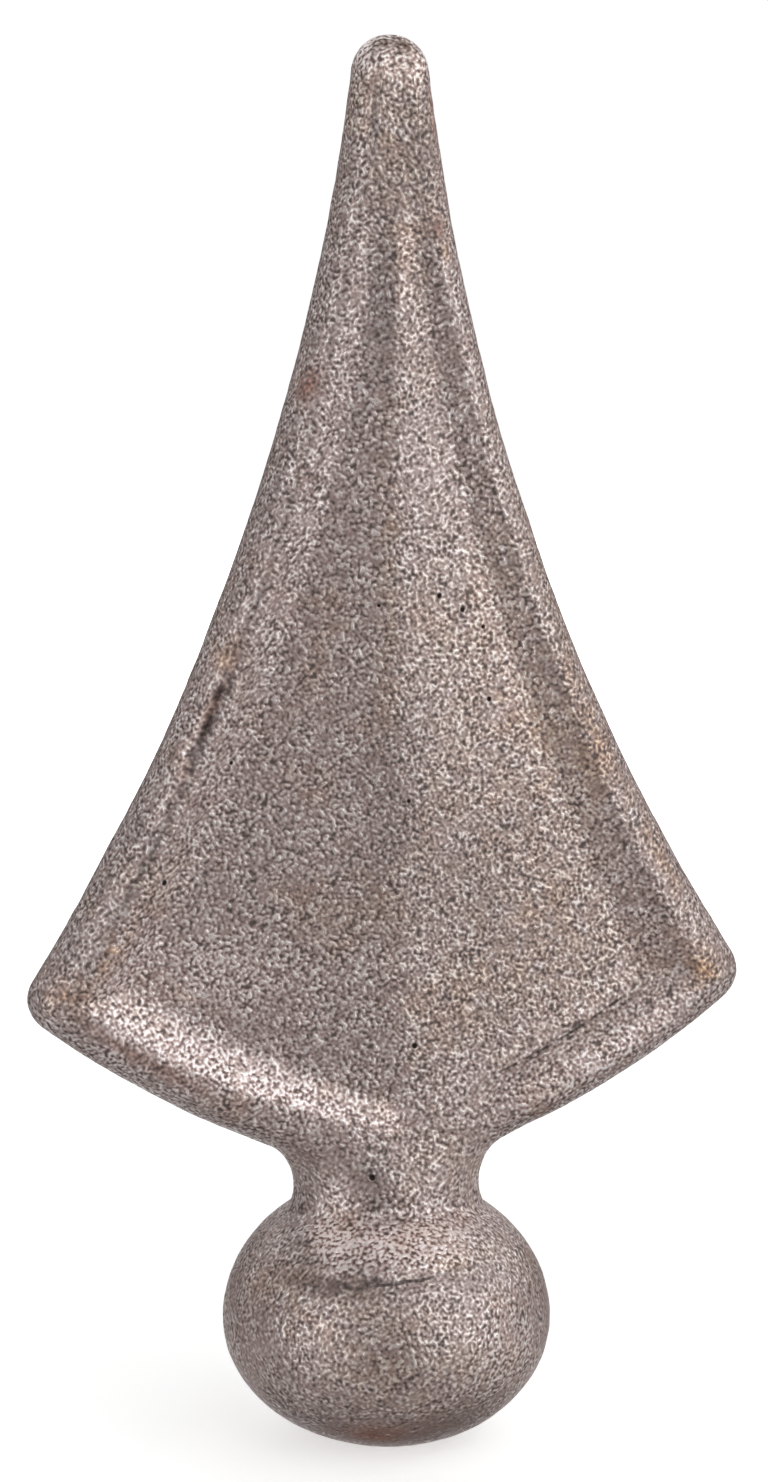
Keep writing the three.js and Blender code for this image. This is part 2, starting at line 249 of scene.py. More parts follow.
class SpearShape:
    """Outline and depths of the casting, for arrays of heights z and distances x from the axis.

    The outline is a chain of arcs that meet smoothly: ball, cove, full lower edge, wing corner,
    hollow long edge and tip. The section is a half depth over the outline: a round outer edge up
    to the rim's crest, a slope down to the panel, and facets that rise to the ridge on the axis.
    """

    rim_slope = 0.64
    crest_inset_rule = (2.1 * MM, 0.06)
    valley_inset_rule = (3.9 * MM, 0.115)
    widest_for_insets = 36 * MM
    crest_rounding = 1.0 * MM
    ridge_rounding = 1.2 * MM
    valley_rounding = 1.0 * MM
    panel_start = (4.8 * MM, 8.5 * MM)
    rise_start = (4 * MM, 16 * MM)
    root_depth_rule = (1.9 * MM, 28 * MM, 6)
    root_slope_rule = (0.3, 30 * MM, 6)
    root_fullness = 0.65
    neck_lean = 2.4
    root_full_fade = (34 * MM, 42 * MM)
    root_inset_rule = (1.2 * MM, 20 * MM, 4)
    root_fade = (42 * MM, 60 * MM)

    def __init__(self, form):
        self.form = form
        self.ball_drop = form.ball_centre / math.sqrt(1 - (form.foot_radius / form.ball_radius) ** 2)
        self.tip = (0.0, form.height - form.tip_radius)
        reach = form.tip_radius + form.long_edge_radius
        self.long = (
            reach * math.cos(form.tip_edge_angle),
            self.tip[1] + reach * math.sin(form.tip_edge_angle),
        )
        self.cove = (form.waist_radius + form.cove_radius, form.waist_height)
        reach = form.cove_radius + form.lower_edge_radius
        self.lower = (
            self.cove[0] - reach * math.sin(form.lower_edge_angle),
            self.cove[1] + reach * math.cos(form.lower_edge_angle),
        )
        self.wing = circle_meeting(
            self.long,
            form.long_edge_radius + form.wing_radius,
            self.lower,
            form.lower_edge_radius - form.wing_radius,
        )
        self.lower_start = towards(self.cove, self.lower, form.cove_radius)
        self.wing_start = towards(self.wing, self.lower, -form.wing_radius)
        self.wing_end = towards(self.wing, self.long, form.wing_radius)
        self.tip_start = towards(self.tip, self.long, form.tip_radius)
        self.ball_end = meeting(
            lambda z: self.ball_width(z) - self.cove_width(z),
            self.cove[1] - form.cove_radius / 2,
            self.cove[1],
        )
        self.root = meeting(
            lambda z: self.crest_inset(0, z) - self.edge_inset(0, z),
            self.lower_start - form.cove_radius,
            self.wing_start,
        )

    def ball_width(self, z):
        """Half width of the ball: an ellipse with its own height above and below its centre."""
        level = z - self.form.ball_centre
        span = np.where(level < 0, self.ball_drop, self.form.ball_rise)
        return self.form.ball_radius * positive_root(1 - (level / span) ** 2)

    def cove_width(self, z):
        """Half width of the neck's hollow curve."""
        return self.cove[0] - positive_root(self.form.cove_radius**2 - (z - self.cove[1]) ** 2)

    def long_width(self, z):
        """Half width of the hollow long edge, carried on below the wing."""
        return self.long[0] - positive_root(self.form.long_edge_radius**2 - (z - self.long[1]) ** 2)

    def tip_width(self, z):
        """Half width of the round tip."""
        return positive_root(self.form.tip_radius**2 - (z - self.tip[1]) ** 2)

    def half_width(self, z):
        """Half width of the whole outline."""
        lower = self.lower[0] + positive_root(self.form.lower_edge_radius**2 - (z - self.lower[1]) ** 2)
        wing = self.wing[0] + positive_root(self.form.wing_radius**2 - (z - self.wing[1]) ** 2)
        ends = [self.ball_end, self.lower_start, self.wing_start, self.wing_end, self.tip_start]
        widths = [self.ball_width(z), self.cove_width(z), lower, wing, self.long_width(z)]
        return np.select([z < end for end in ends], widths, self.tip_width(z))

    def edge_inset(self, x, z):
        """Distance in from the blade's long and lower edges, with the wing corner rounded."""
        from_long = np.hypot(x - self.long[0], z - self.long[1]) - self.form.long_edge_radius
        from_lower = self.form.lower_edge_radius - np.hypot(x - self.lower[0], z - self.lower[1])
        short_long = np.maximum(self.form.wing_radius - from_long, 0)
        short_lower = np.maximum(self.form.wing_radius - from_lower, 0)
        corner = self.form.wing_radius - np.hypot(short_long, short_lower)
        in_corner = (short_long > 0) & (short_lower > 0)
        return np.where(in_corner, corner, np.minimum(from_long, from_lower))

    def root_growth(self, rule, x, z):
        """A bell across the axis that fades out above the neck."""
        most, reach, power = rule
        return most * np.exp(-((x / reach) ** power)) * (1 - smooth_step(*self.root_fade, z))

    def inset_by(self, rule, z):
        """An inset that grows with the blade's width."""
        narrow, growth = rule
        return narrow + growth * np.minimum(self.long_width(z), self.widest_for_insets)

    def crest_inset(self, x, z):
        """Distance in from the edge to the rim's crest."""
        return self.inset_by(self.crest_inset_rule, z) + self.root_growth(self.root_inset_rule, x, z)

    def valley_inset(self, z):
        """Distance in from the edge to the foot of the rim's inner slope."""
        return self.inset_by(self.valley_inset_rule, z)

    def risen(self, depth, z):
        """A half depth that grows from the tip's radius as the blade widens."""
        return mix(self.form.tip_radius, depth, smooth_step(*self.rise_start, self.long_width(z)))

    def panel_share(self, z):
        """How far the panel has deepened, from 0 at the tip to 1."""
        return smooth_step(*self.panel_start, self.long_width(z))

    def rim_depth(self, x, z):
        """Half depth at the rim's crest."""
        return self.risen(self.form.rim_depth, z) + self.root_growth(self.root_depth_rule, x, z)

    def crest_x(self, z):
        """Distance from the axis to the rim's crest, and 0 on the neck and the ball."""
        blade_z = np.clip(z, self.root, self.tip_start)
        crest = meeting(
            lambda x: self.edge_inset(x, blade_z) - self.crest_inset(x, blade_z),
            0 * z,
            self.half_width(blade_z),
        )
        on_tip = crest * self.tip_width(z) / self.tip_width(self.tip_start)
        return np.select([z <= self.root, z > self.tip_start], [0, on_tip], crest)

    def crest_depth(self, z):
        """Half depth at a row's crest: the neck's front, the rim's crest or the tip."""
        oval = self.form.neck_depth / self.form.waist_radius
        foot = oval * self.cove_width(np.maximum(z, self.ball_end))
        up = np.clip((z - self.form.waist_height) / (self.root - self.form.waist_height), 0, 1)
        lean = up**2 * mix(self.neck_lean, 1, up)
        leaning = mix(self.form.neck_depth, self.rim_depth(0, z), lean)
        neck = np.where(z < self.form.waist_height, foot, leaning)
        depth = np.where(z <= self.root, neck, self.rim_depth(self.crest_x(z), z))
        depth = np.where(z > self.tip_start, self.tip_width(z), depth)
        return np.where(z < self.form.ball_centre, 0, depth)

    def flank_fullness(self, z):
        """How much fuller than an ellipse the flanks are, where the rims run into the neck."""
        grown = smooth_step(self.form.waist_height, self.root, z)
        return self.root_fullness * grown * (1 - smooth_step(*self.root_full_fade, z))

    def panel_depth(self, x, z):
        """Half depth inside the crest: the rim's inner slope, then the facet up to the ridge."""
        inset = self.edge_inset(x, z)
        past = np.maximum(inset - self.crest_inset(x, z), 0)
        run = np.hypot(past, self.crest_rounding) - self.crest_rounding
        slope = self.panel_share(z) * (self.rim_slope + self.root_growth(self.root_slope_rule, x, z))
        ridge = self.risen(self.form.ridge_depth, z)
        across = self.valley_inset(z) - self.inset_by(self.crest_inset_rule, z)
        sunk = self.rim_slope * self.panel_share(z) * across
        valley_x = np.maximum(self.long_width(z) - self.valley_inset(z), self.ridge_rounding)
        fall = ridge - self.risen(self.form.rim_depth, z) + sunk
        facet = ridge - fall * (np.hypot(x, self.ridge_rounding) - self.ridge_rounding) / valley_x
        return blend_max(self.rim_depth(x, z) - slope * run, facet, self.valley_rounding)

    def half_depth(self, x, z):
        """Half depth of the casting: blade or neck, blended with the ball."""
        crest = self.crest_x(z)
        crest_depth = self.crest_depth(z)
        outer = (x - crest) / np.maximum(self.half_width(z) - crest, TINY)
        inside = np.where(z > self.tip_start, crest_depth, self.panel_depth(x, z))
        edge = positive_root(1 - outer**2) * (1 + self.flank_fullness(z) * outer**2 * (1 - outer**2))
        body = np.where(outer >= 0, crest_depth * edge, inside)
        ball = positive_root(self.ball_width(z) ** 2 - x**2)
        return blend_max(body, ball, self.form.ball_blend)


class CastingGrid:
    """Points of the casting: rows from the foot's rim to the tip, each a ring of stations.

    Rows are spaced evenly round each arc of the outline. Stations lie at even angles on the ball
    and neck, and follow the panel's valley and the rim's crest on the blade. A ring runs across
    the front from left to right and back behind.
    """

    rows = {
        "ball_lower": 40,
        "ball_upper": 40,
        "cove": 30,
        "lower_edge": 72,
        "wing": 24,
        "long_edge": 176,
        "tip": 22,
    }
    foot_rings = 5
    facet_share = 0.42
    slope_share = 0.28
    valley_limits = (0.25, 0.86)
    crest_limits = (0.25, 0.75)

    def __init__(self, shape, half_stations):
        self.shape = shape
        self.half = half_stations
        self.ring = 4 * half_stations
        z = self.row_heights()
        foot = self.ring_points(z[:1])
        inward = np.linspace(0, 1, self.foot_rings + 1)[1:-1]
        foot_rings = foot * np.stack([inward, inward, 0 * inward + 1], 1)[:, None, :]
        self.points = np.concatenate([foot_rings, self.ring_points(z)])

    def row_heights(self):
        """Heights at even angles round each arc of the outline."""
        shape = self.shape
        form = shape.form
        arcs = {
            "ball_lower": (form.ball_centre, shape.ball_drop, 0, form.ball_centre),
            "ball_upper": (form.ball_centre, form.ball_rise, form.ball_centre, shape.ball_end),
            "cove": (shape.cove[1], form.cove_radius, shape.ball_end, shape.lower_start),
            "lower_edge": (shape.lower[1], form.lower_edge_radius, shape.lower_start, shape.wing_start),
            "wing": (shape.wing[1], form.wing_radius, shape.wing_start, shape.wing_end),
            "long_edge": (shape.long[1], form.long_edge_radius, shape.wing_end, shape.tip_start),
            "tip": (shape.tip[1], form.tip_radius, shape.tip_start, form.height),
        }
        heights = []
        for name, (centre, radius, start, end) in arcs.items():
            turn = np.arcsin(np.clip((np.array([start, end]) - centre) / radius, -1, 1))
            heights.append(centre + radius * np.sin(np.linspace(*turn, self.rows[name] + 1)[:-1]))
        return np.concatenate(heights)

    def stations(self, z):
        """Places across half of each row, as shares of its half width."""
        shape = self.shape
        width = shape.half_width(z)
        valley_x = meeting(lambda x: shape.edge_inset(x, z) - shape.valley_inset(z), 0 * z, width)
        valley = np.clip(valley_x / width, *self.valley_limits)
        crest_low, crest_high = (mix(valley, 1, limit) for limit in self.crest_limits)
        crest = np.clip(shape.crest_x(z) / width, crest_low, crest_high)
        step = np.arange(self.half + 1) / self.half
        slope_end = self.facet_share + self.slope_share
        on_edge = np.sin(math.pi / 2 * np.clip((step - slope_end) / (1 - slope_end), 0, 1))
        on_slope = np.clip((step - self.facet_share) / self.slope_share, 0, 1)
        on_facet = np.minimum(step / self.facet_share, 1)
        blade = valley * on_facet + (crest - valley) * on_slope + (1 - crest) * on_edge
        on_round = np.sin(math.pi / 2 * step)
        return mix(on_round, blade, smooth_step(shape.form.waist_height, shape.root, z))

    def ring_points(self, heights):
        """Points of the rings at some heights: front from left to right, then the back."""
        z = heights[:, None]
        x = self.shape.half_width(z) * self.stations(z)
        depth = self.shape.half_depth(x, z)
        depth[:, -1] = 0
        front_x = np.concatenate([-x[:, :0:-1], x], 1)
        front_depth = np.concatenate([depth[:, :0:-1], depth], 1)
        ring_x = np.concatenate([front_x, front_x[:, -2:0:-1]], 1)
        ring_y = np.concatenate([-front_depth, front_depth[:, -2:0:-1]], 1)
        return np.stack([ring_x, ring_y, z + 0 * ring_x], 2)

    def normals(self):
        """Outward unit normals: the cross product of the grid's steps round and up."""
        around = np.roll(self.points, -1, 1) - np.roll(self.points, 1, 1)
        up = np.gradient(self.points, axis=0)
        normal = np.cross(around, up)
        return normal / np.maximum(np.linalg.norm(normal, axis=2, keepdims=True), TINY)

    def quads(self):
        """Corner numbers of the faces between neighbouring rows."""
        corner = np.arange(len(self.points) * self.ring).reshape(-1, self.ring)
        following = np.roll(corner, -1, 1)
        return np.stack([corner[:-1], following[:-1], following[1:], corner[1:]], 2).reshape(-1, 4)

    def caps(self):
        """Corner numbers of the triangles round the foot's middle and round the tip's pole."""
        first = np.arange(self.ring)
        last = first + (len(self.points) - 1) * self.ring
        bottom = np.full(self.ring, len(self.points) * self.ring)
        under = np.stack([bottom, np.roll(first, -1), first], 1)
        over = np.stack([bottom + 1, last, np.roll(last, -1)], 1)
        return np.concatenate([under, over])

    def poles(self):
        """Middle of the foot and pole of the tip."""
        return np.array([[0, 0, 0], [0, 0, self.shape.form.height]])


# Numbers that scramble a lattice corner's place into its value
HASH_STEPS = np.array([73856093, 19349663, 83492791])
HASH_SEED = 2654435761
HASH_SPREAD = 1274126177
HASH_BITS = 0xFFFFFFFF
VALUE_BITS = 0xFFFF


def lattice_noise(points, cell, seed):
    """Smooth noise from -1 to 1: hashed values at a lattice's corners, blended by S-curves."""
    place = points / cell
    corner = np.floor(place).astype(np.int64)
    t = place - corner
    t = t * t * (3 - 2 * t)
    total = np.zeros(points.shape[:-1])
    for offset in np.ndindex(2, 2, 2):
        near = np.array(offset)
        key = (corner + near) @ HASH_STEPS + seed * HASH_SEED
        key = (key ^ (key >> 13)) * HASH_SPREAD & HASH_BITS
        value = ((key ^ (key >> 16)) & VALUE_BITS) / (VALUE_BITS / 2) - 1
        total += value * np.prod(np.where(near == 1, t, 1 - t), axis=-1)
    return total


FRONT = -1
BACK = 1


def on_face(points, face):
    """1 on the front or the back, and 0 on the other."""
    return (points[..., 1] * face > 0).astype(float)


def spot(points, face, x, z, reach_x, reach_z):
    """A soft spot on one face, as a bell over x and z in millimetres."""
    off_x = (points[..., 0] / MM - x) / reach_x
    off_z = (points[..., 2] / MM - z) / reach_z
    return np.exp(-(off_x**2) - off_z**2) * on_face(points, face)


def streak(points, shape, face, side, inset, z, across, along):
    """A soft streak along a rim: a bell over the distance in from the edge and z, in millimetres."""
    off_inset = (shape.edge_inset(np.abs(points[..., 0]), points[..., 2]) / MM - inset) / across
    off_z = (points[..., 2] / MM - z) / along
    on_side = (points[..., 0] * side > 0) & (points[..., 2] > shape.root)
    return np.exp(-(off_inset**2) - off_z**2) * on_side * on_face(points, face)


# Pits, as face, x, z and radius, in millimetres
PITS = (
    (FRONT, 4.4, 90.4, 0.36),
    (FRONT, 6.9, 88.8, 0.34),
    (FRONT, 9.2, 86.9, 0.28),
    (FRONT, 9.9, 79.3, 0.34),
    (FRONT, 1.1, 69.1, 0.30),
    (FRONT, -24.4, 61.4, 0.42),
    (FRONT, -2.1, 89.6, 0.27),
    (FRONT, 1.8, 43.1, 0.40),
    (FRONT, -3.2, 29.8, 0.45),
    (FRONT, -17.2, 73.5, 0.28),
    (BACK, -7.2, 96.5, 0.36),
    (BACK, 8.6, 71.3, 0.40),
    (BACK, 15.4, 58.8, 0.30),
    (BACK, -3.0, 24.5, 0.42),
)

# Soft spots of each finish: face, x, z, reach across and along in millimetres, and strength
SPOTS = {
    # Tone spots on the front are painted highlights and shade: the lit lip, the ball's lit lobes, its
    # dark middle and dark foot, the neck's sides, the right facet and the tip's facets. The two on the
    # back vary at random.
    "tone_and_painted_light": (
        (FRONT, -7.9, 23.3, 1.5, 1.8, 1.0),
        (FRONT, -3.2, 23.4, 3.4, 1.8, 1.0),
        (FRONT, 2.6, 23.5, 3.6, 1.8, 1.0),
        (FRONT, -1.6, 144.8, 2.4, 1.8, 0.8),
        (FRONT, 1.8, 143.8, 1.8, 2.0, 0.6),
        (FRONT, -3.6, 139.5, 0.8, 5.0, 0.45),
        (FRONT, -2.4, 138.0, 0.4, 4.0, -0.5),
        (FRONT, 0.9, 124.6, 1.1, 5.0, 0.5),
        (FRONT, -1.8, 119.0, 1.5, 6.0, -0.3),
        (FRONT, 9.0, 29.5, 1.5, 4.0, 0.1),
        (FRONT, 0.5, 128.0, 4.0, 12.0, -0.2),
        (FRONT, 6.5, 20.0, 3.0, 1.5, -0.25),
        (FRONT, -10.6, 23.2, 1.2, 2.2, -0.35),
        (FRONT, -9.5, 31.6, 1.5, 2.6, -0.05),
        (FRONT, -6.5, 27.5, 2.0, 3.0, 0.35),
        (FRONT, 6.5, 28.0, 2.5, 3.0, 0.15),
        (FRONT, -2.7, 29.6, 1.6, 3.2, -0.35),
        (FRONT, -20.0, 51.5, 8.0, 4.0, 0.4),
        (FRONT, 8.5, 62.0, 6.0, 9.0, -0.18),
        (FRONT, 0.0, 69.0, 3.0, 12.0, -0.25),
        (FRONT, 2.5, 137.0, 2.0, 5.0, -0.25),
        (FRONT, -11.0, 16.5, 3.0, 2.5, 0.15),
        (FRONT, 15.5, 14.0, 2.0, 6.0, -0.24),
        (FRONT, -15.8, 14.0, 1.5, 6.0, 0.28),
        (FRONT, -9.0, 13.5, 4.0, 4.5, 0.12),
        (FRONT, -7.0, 20.0, 4.5, 0.9, -0.3),
        (FRONT, -1.5, 12.5, 2.6, 6.0, -0.12),
        (FRONT, 0.0, 4.0, 12.0, 3.0, -0.12),
        (FRONT, 8.5, 14.0, 4.0, 4.5, 0.36),
        (FRONT, 9.0, 80.0, 6.0, 16.0, 0.12),
        (FRONT, 24.0, 37.0, 9.0, 6.0, 0.15),
        (BACK, 12.0, 60.0, 8.0, 7.0, 0.3),
        (BACK, -6.0, 74.0, 5.0, 12.0, -0.3),
    ),
    "rust": (
        (FRONT, -3.6, 3.6, 3.4, 1.5, 1.0),
        # Painted brown shadow under the lip, left of the fold
        (FRONT, -9.0, 20.1, 3.4, 0.9, 0.4),
        (BACK, 2.5, 3.4, 3.0, 1.2, 0.6),
    ),
    "dull": (
        # Dull on the front: painted shade that mutes the grain where the ball's foot and sides and the
        # neck's sides lie in shade
        (FRONT, 0.0, 3.0, 16.0, 5.5, 0.5),
        (FRONT, -16.0, 12.0, 2.2, 8.0, 0.4),
        (FRONT, 16.0, 12.0, 2.2, 8.0, 0.5),
        (FRONT, -8.0, 30.5, 4.0, 4.5, 0.35),
        (FRONT, 8.0, 30.5, 3.0, 4.5, 0.25),
        (BACK, 0.0, 4.0, 16.0, 6.0, 0.4),
        (BACK, -14.0, 62.0, 7.0, 9.0, 0.3),
    ),
    "grime_and_shade": (
        # Painted shadow under the lip, in the fold
        (FRONT, -8.0, 20.0, 4.0, 0.7, 0.5),
        (FRONT, -4.6, 20.6, 1.0, 0.5, 0.5),
    ),
    "bloom_and_warm_light": (
        # On the front mostly a painted warm cast on the right facet and lower wing, the tip, the ridge
        # and the ball, with brown bloom in it
        (FRONT, 13.0, 76.0, 13.0, 34.0, 0.60),
        (FRONT, 18.0, 51.0, 13.0, 6.0, 0.50),
        (FRONT, 0.5, 135.0, 5.0, 10.0, 0.75),
        (FRONT, -1.1, 92.0, 1.2, 16.0, 0.55),
        (FRONT, 0.0, 9.0, 15.0, 7.0, 0.50),
        (FRONT, 4.5, 21.6, 2.2, 0.9, 0.8),
        (FRONT, -13.5, 18.5, 3.0, 2.4, 0.5),
        (FRONT, 4.0, 31.5, 6.0, 4.0, 0.4),
        (BACK, 1.0, 84.0, 1.4, 14.0, 0.5),
        (BACK, -12.0, 66.0, 11.0, 22.0, 0.4),
        (BACK, 0.0, 10.0, 15.0, 8.0, 0.4),
    ),
}

LEFT = -1
RIGHT = 1

# Streaks along the rims: face, side, inset from the edge, z, reach across and along, and strength
STREAKS = {
    "tone_and_painted_light": (
        # Tone streaks are painted highlights on the lower left rim's inner slope and along the crests,
        # and painted shade by the right lower crease
        (FRONT, LEFT, 6.4, 42.0, 2.0, 7.0, 0.87),
        (FRONT, RIGHT, 4.2, 41.0, 1.6, 6.0, 0.40),
        (FRONT, RIGHT, 8.6, 43.0, 1.6, 6.0, -0.20),
        (FRONT, LEFT, 1.2, 40.0, 1.2, 6.0, 0.30),
        (FRONT, LEFT, 1.0, 82.0, 0.8, 8.0, 0.30),
        (FRONT, LEFT, 1.7, 75.5, 0.6, 3.5, 0.40),
    ),
    "rust": (
        (FRONT, LEFT, 1.1, 112.2, 0.8, 1.9, 1.0),
        # Rust and painted shade in the left rim's crevice
        (FRONT, LEFT, 2.3, 79.4, 0.6, 3.4, 0.7),
        (FRONT, LEFT, 2.6, 73.0, 0.6, 2.0, 0.4),
        (FRONT, RIGHT, 0.5, 138.5, 0.6, 4.0, 0.6),
        (FRONT, RIGHT, 2.2, 127.6, 0.6, 1.5, 0.7),
        # Rust and painted shade under the lower left crest
        (FRONT, LEFT, 3.4, 43.0, 0.7, 4.0, 0.7),
        (BACK, LEFT, 1.4, 108.0, 0.6, 2.4, 0.7),
        (BACK, RIGHT, 2.0, 77.0, 0.6, 2.2, 0.6),
    ),
    "ochre": (
        (FRONT, LEFT, 1.7, 85.0, 1.0, 1.9, 0.65),
        (FRONT, LEFT, 4.6, 54.4, 1.0, 3.4, 0.7),
        (FRONT, LEFT, 2.4, 49.6, 1.2, 1.5, 0.6),
        (FRONT, RIGHT, 2.6, 76.0, 0.9, 7.0, 0.4),
        (FRONT, RIGHT, 2.0, 62.0, 0.9, 6.0, 0.5),
        (FRONT, RIGHT, 4.0, 49.6, 1.2, 1.8, 0.9),
        (FRONT, RIGHT, 1.8, 126.5, 0.7, 2.2, 0.7),
        (BACK, LEFT, 2.4, 66.0, 0.9, 6.0, 0.6),
        (BACK, RIGHT, 3.4, 51.0, 1.2, 2.4, 0.7),
    ),
    "grime_and_shade": (
        # Dirt and painted shade in the left rim's crevice, and under the lower left crest
        (FRONT, LEFT, 1.5, 86.0, 0.30, 0.4, 0.8),
        (FRONT, LEFT, 2.1, 85.0, 0.25, 0.5, 0.6),
        (FRONT, LEFT, 2.35, 81.0, 0.48, 1.4, 0.95),
        (FRONT, LEFT, 2.6, 77.4, 0.48, 1.9, 0.95),
        (FRONT, LEFT, 2.75, 74.0, 0.40, 1.2, 0.5),
        (FRONT, LEFT, 3.6, 43.2, 0.5, 3.0, 0.35),
        (BACK, RIGHT, 2.2, 76.0, 0.40, 1.6, 0.7),
    ),
}

FINISHES = ("tone_and_painted_light", "dull", "bloom_and_warm_light", "ochre", "rust", "grime_and_shade")


def stains(points, shape, finish):
    """Sum of the soft spots and rim streaks of one finish, from -1 to 1.

    Tone and painted light is paler above 0 and darker below it, as painted highlights and painted
    shade, and dull weakens the grain's contrast.
    """
    total = np.zeros(points.shape[:-1])
    for *place, strength in SPOTS.get(finish, ()):
        total += strength * spot(points, *place)
    for *place, strength in STREAKS.get(finish, ()):
        total += strength * streak(points, shape, *place)
    return np.clip(total, -1, 1)


# Painted highlight in the right half of each panel, by the foot of the rim's slope
PANEL_HIGHLIGHT_SHARE = 0.3
PANEL_HIGHLIGHT_PAST = 1.2 * MM
PANEL_HIGHLIGHT_REACH = 1.5 * MM
PANEL_HIGHLIGHT_SIDE = (0, 6 * MM)
PANEL_HIGHLIGHT_END = (88 * MM, 108 * MM)


def panel_highlight(points, shape):
    """Painted highlight inside the panel: a bell over the distance past the valley, low on the right.
    """
    x = points[..., 0]
    z = points[..., 2]
    past = shape.edge_inset(np.abs(x), z) - shape.valley_inset(z)
    right = smooth_step(*PANEL_HIGHLIGHT_SIDE, -x * np.sign(points[..., 1]))
    low = (z > shape.root) * (1 - smooth_step(*PANEL_HIGHLIGHT_END, z))
    return PANEL_HIGHLIGHT_SHARE * np.exp(-(((past - PANEL_HIGHLIGHT_PAST) / PANEL_HIGHLIGHT_REACH) ** 2)) * right * low


# The fold under the neck's foot, by height over its line and by x
LIP_FOOT = (-0.4 * MM, 0.4 * MM)
LIP_TOP = (0.6 * MM, 4.5 * MM)
FOLD_START = (-14 * MM, -9 * MM)
FOLD_END = (3 * MM, 9 * MM)
FOLD_SHARPENS = (-7 * MM, -4 * MM)
FOLD_CRISP_END = (2.5 * MM, 0.5 * MM)
FOLD_FAINT_START = (0, 2 * MM)
FOLD_FAINT_END = (9 * MM, 6 * MM)
BROAD_FOLD = 2.4
SHALLOW_FOLD = 0.6


def neck_fold(points, relief):
    """Height of the fold across the ball's front, under the lip of the neck's foot.

    The lip swells above a line that rises slowly to the right, and dies away upwards. The fold is
    a bell across that line, broad and shallow on the left.
    """
    x = points[..., 0]
    above = points[..., 2] - relief.fold_height - relief.fold_rise * x
    lip = smooth_step(*LIP_FOOT, above) * (1 - smooth_step(*LIP_TOP, above))
    held = smooth_step(*FOLD_START, x) * (1 - smooth_step(*FOLD_END, x))
    sharp = smooth_step(*FOLD_SHARPENS, x)
    width = relief.fold_width * mix(BROAD_FOLD, 1, sharp)
    fold = np.exp(-((above / width) ** 2)) * mix(SHALLOW_FOLD, 1, sharp)
    return (relief.lip_rise * lip - relief.fold_depth * fold) * held * on_face(points, FRONT)


def relief_height(points, relief):
    """Height of the casting's relief over the plain form: slow waves, coarse grain and the fold."""
    height = relief.wave_depth * lattice_noise(points, relief.wave_size, 1)
    height += relief.grain_depth * lattice_noise(points, relief.grain_size, 2)
    height += relief.grain_depth / 2 * lattice_noise(points, relief.grain_size / 2, 3)
    return height + neck_fold(points, relief)


def mesh_object(name, points, faces, attributes):
    """A smooth mesh object from points, lists of faces and one number per point for each attribute."""
    mesh = bpy.data.meshes.new(name)
    mesh.from_pydata(points, [], faces)
    mesh.shade_smooth()
    for attribute, values in attributes.items():
        layer = mesh.attributes.new(attribute, "FLOAT", "POINT")
        layer.data.foreach_set("value", values.astype(np.float32))
    mesh.update()
    made = bpy.data.objects.new(name, mesh)
    bpy.context.scene.collection.objects.link(made)
    return made


class Wire:
    """A shader value. Python's operators on it add Math nodes to its tree."""

    def __init__(self, shader, socket):
        self.shader = shader
        self.socket = socket

    def math(self, operation, first, second):
        """A Math node on two values, each a Wire or a number."""
        return self.shader.node("ShaderNodeMath", {"operation": operation}, {0: first, 1: second})

    def __add__(self, other):
        return self.math("ADD", self, other)

    def __radd__(self, other):
        return self.math("ADD", other, self)

    def __sub__(self, other):
        return self.math("SUBTRACT", self, other)

    def __rsub__(self, other):
        return self.math("SUBTRACT", other, self)

    def __mul__(self, other):
        return self.math("MULTIPLY", self, other)

    def __rmul__(self, other):
        return self.math("MULTIPLY", other, self)

    def larger(self, other):
        """The larger of two values."""
        return self.math("MAXIMUM", self, other)


PATTERN_TURN = (0.7, 0.5, 0.4)
LINE_CORE = 0.2

# Numbers of a Mix node's two colours, and of the colour that it gives
MIX_COLOURS = (6, 7)
MIX_RESULT = 2


